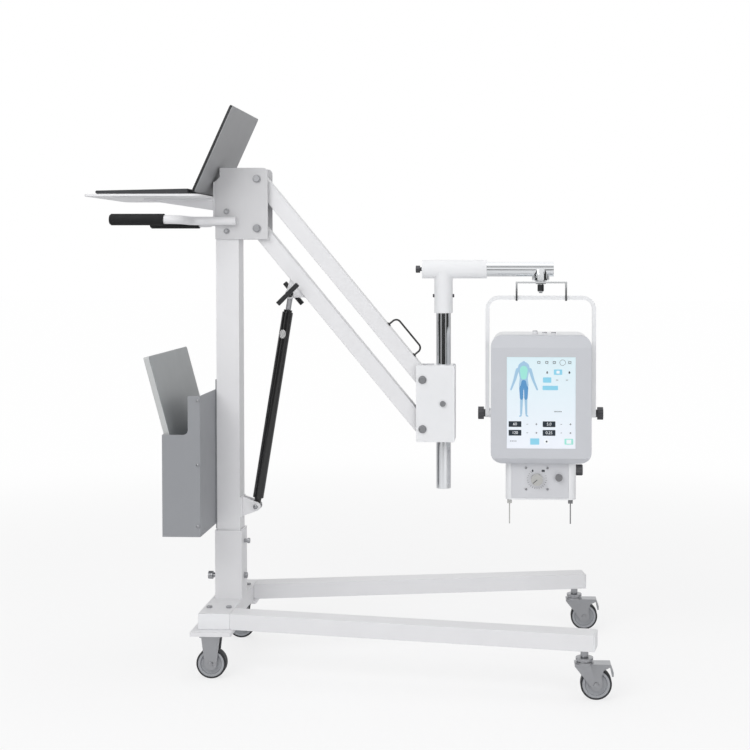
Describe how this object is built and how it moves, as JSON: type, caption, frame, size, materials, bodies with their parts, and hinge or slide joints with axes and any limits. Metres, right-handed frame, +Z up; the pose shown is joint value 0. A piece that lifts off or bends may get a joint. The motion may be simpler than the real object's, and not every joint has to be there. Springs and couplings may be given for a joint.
{
  "type": "portable x-ray machine",
  "caption": "Portable x-ray unit on a wheeled stand: parallelogram arm with gas strut, swivelling x-ray head with touch screen, laptop tray and flat-panel pocket.",
  "frame": {"origin": "on the floor, at the middle of the bounding box in plan", "axes": "+X forward, towards the x-ray head and the swivel casters; +Y to the machine's left; +Z up"},
  "size_m": [1.314, 0.6748, 1.4352],
  "materials": {
    "white_paint": "white powder coat",
    "grey_paint": "pale grey powder coat",
    "white_plastic": "moulded, satin",
    "steel": "zinc plated",
    "black_plastic": "moulded, fine grain",
    "black_paint": "black enamel",
    "pocket_grey": "grey powder coat on sheet",
    "tyre_rubber": "soft grey-black rubber",
    "hub_grey": "moulded nylon",
    "chrome_tube": "polished",
    "head_grey": "satin light grey shell",
    "screen_glass": "touch panel",
    "knob_grey": "turned and moulded controls",
    "laptop_dark": "dark laptop base",
    "laptop_silver": "satin lid",
    "detector_grey": "flat panel"
  },
  "bodies": {
    "stand": {"cross_beam": "white_paint", "leg_left": "white_paint", "leg_right": "white_paint", "tube_caps": "white_plastic", "socket": "white_paint", "base_bolts": "steel", "rear_plates": "white_paint", "rear_forks": "steel", "rear_axles": "steel", "caster_stems": "steel", "column": "white_paint", "arm_bracket": "grey_paint", "bracket_bolts": "steel", "pivot_spacers": "steel", "handle_left": "white_paint", "handle_right": "white_paint", "handle_grips": "black_plastic", "tray": "white_paint", "tray_support": "white_paint", "laptop_base": "laptop_dark", "detector_pocket": "pocket_grey", "pocket_strip": "pocket_grey", "strut_foot": "white_paint"},
    "rear_wheel_left": {"rear_tyre_left": "tyre_rubber", "rear_hub_left": "hub_grey"},
    "rear_wheel_right": {"rear_tyre_right": "tyre_rubber", "rear_hub_right": "hub_grey"},
    "caster_left": {"caster_left": "steel", "caster_axle_left": "steel"},
    "front_wheel_left": {"front_tyre_left": "tyre_rubber", "front_hub_left": "hub_grey"},
    "caster_right": {"caster_right": "steel", "caster_axle_right": "steel"},
    "front_wheel_right": {"front_tyre_right": "tyre_rubber", "front_hub_right": "hub_grey"},
    "upper_arm": {"upper_arm": "grey_paint", "bow_handle": "black_paint"},
    "lower_arm": {"lower_arm": "grey_paint", "strut_pins": "black_plastic"},
    "end_bracket": {"end_bracket": "grey_paint", "end_bolts": "steel"},
    "strut_cylinder": {"strut_cylinder": "black_paint"},
    "strut_rod": {"strut_rod": "steel"},
    "post": {"post": "chrome_tube"},
    "tee": {"tee": "white_paint", "tee_screws": "black_paint"},
    "boom": {"boom": "chrome_tube"},
    "yoke": {"hang_bracket": "white_paint", "bail": "grey_paint", "tilt_knobs": "black_plastic"},
    "head": {"head_front": "head_grey", "head_rear": "white_plastic", "screen": "screen_glass", "collimator": "white_plastic", "collimator_knobs": "knob_grey"},
    "laptop_lid": {"laptop_lid": "laptop_silver"},
    "detector": {"detector": "detector_grey"}
  },
  "joints": [
    {"name": "rear_roll_left", "type": "hinge", "parent": "stand", "child": "rear_wheel_left", "pos_m": [-0.338, 0.182, 0.0375], "axis": [0, 1, 0], "continuous": true},
    {"name": "rear_roll_right", "type": "hinge", "parent": "stand", "child": "rear_wheel_right", "pos_m": [-0.338, -0.182, 0.0375], "axis": [0, 1, 0], "continuous": true},
    {"name": "swivel_left", "type": "hinge", "parent": "stand", "child": "caster_left", "pos_m": [0.588, 0.305, 0.1], "axis": [0, 0, 1], "continuous": true},
    {"name": "roll_left", "type": "hinge", "parent": "caster_left", "child": "front_wheel_left", "pos_m": [0.6155, 0.305, 0.0375], "axis": [0, 1, 0], "continuous": true},
    {"name": "swivel_right", "type": "hinge", "parent": "stand", "child": "caster_right", "pos_m": [0.588, -0.305, 0.1], "axis": [0, 0, 1], "continuous": true},
    {"name": "roll_right", "type": "hinge", "parent": "caster_right", "child": "front_wheel_right", "pos_m": [0.6155, -0.305, 0.0375], "axis": [0, 1, 0], "continuous": true},
    {"name": "arm_lift", "type": "hinge", "parent": "stand", "child": "upper_arm", "pos_m": [-0.249, 0, 1.257], "axis": [0, -1, 0], "range_deg": [0, 60]},
    {"name": "lower_arm_lift", "type": "hinge", "parent": "stand", "child": "lower_arm", "pos_m": [-0.249, 0, 1.129], "axis": [0, -1, 0], "range_deg": [-1, 61]},
    {"name": "end_level", "type": "hinge", "parent": "upper_arm", "child": "end_bracket", "pos_m": [0.18126, 0, 0.7369], "axis": [0, -1, 0], "range_deg": [-61, 1]},
    {"name": "strut_swing", "type": "hinge", "parent": "stand", "child": "strut_cylinder", "pos_m": [-0.259, 0, 0.4], "axis": [0, 1, 0], "range_deg": [-1, 12]},
    {"name": "strut_stroke", "type": "slide", "parent": "strut_cylinder", "child": "strut_rod", "axis": [0.1616, 0, 0.9869], "range_m": [-0.002, 0.179]},
    {"name": "post_slide", "type": "slide", "parent": "end_bracket", "child": "post", "axis": [0, 0, 1], "range_m": [-0.12, 0.11]},
    {"name": "boom_swing", "type": "hinge", "parent": "post", "child": "tee", "pos_m": [0.234, 0, 1], "axis": [0, 0, 1], "range_deg": [-90, 90]},
    {"name": "boom_extend", "type": "slide", "parent": "tee", "child": "boom", "axis": [1, 0, 0], "range_m": [-0.05, 0.08]},
    {"name": "yoke_swivel", "type": "hinge", "parent": "boom", "child": "yoke", "pos_m": [0.487, 0, 0.99], "axis": [0, 0, 1], "range_deg": [-180, 180]},
    {"name": "head_tilt", "type": "hinge", "parent": "yoke", "child": "head", "pos_m": [0.487, 0, 0.648], "axis": [1, 0, 0], "range_deg": [-90, 90]},
    {"name": "laptop_fold", "type": "hinge", "parent": "stand", "child": "laptop_lid", "pos_m": [-0.391, 0, 1.223], "axis": [0, -1, 0], "range_deg": [0, 115]},
    {"name": "detector_lift", "type": "slide", "parent": "stand", "child": "detector", "axis": [-0.2571, 0, 0.9664], "range_m": [0, 0.28]}
  ],
  "couplings": [
    {"joint": "lower_arm_lift", "follows": "arm_lift", "ratio": 1},
    {"joint": "end_level", "follows": "arm_lift", "ratio": -1},
    {"joint": "strut_swing", "follows": "arm_lift", "ratio": 0.10367},
    {"joint": "strut_stroke", "follows": "arm_lift", "m_per_rad": 0.1675}
  ]
}
